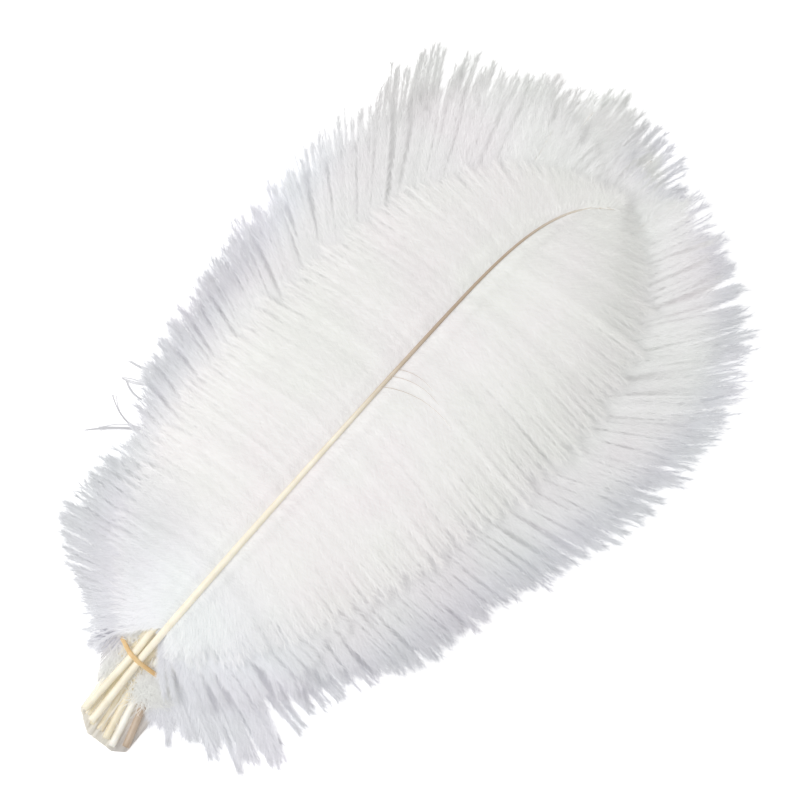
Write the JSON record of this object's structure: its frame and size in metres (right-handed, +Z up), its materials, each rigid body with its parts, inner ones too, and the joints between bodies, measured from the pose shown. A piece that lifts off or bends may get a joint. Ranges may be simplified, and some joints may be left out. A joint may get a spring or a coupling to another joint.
{
  "type": "bundle of ostrich feathers",
  "caption": "Bundle of large white ostrich plumes lying flat in a fanned pile, with bare quills held together by a rubber band.",
  "frame": {"origin": "middle of the underside of the whole bundle's box, on the surface it lies on", "axes": "+X along the bundle from the cut quill ends to the plume tips, +Y across it, +Z up from the surface"},
  "size_m": [0.5928, 0.372, 0.0478],
  "materials": {
    "plume": "matte",
    "rubber": "satin"
  },
  "bodies": {
    "root": {"feather_1": "plume", "feather_2": "plume", "feather_3": "plume", "feather_4": "plume", "feather_5": "plume", "feather_6": "plume", "feather_7": "plume", "feather_8": "plume", "rubber_band": "rubber"}
  },
  "joints": []
}
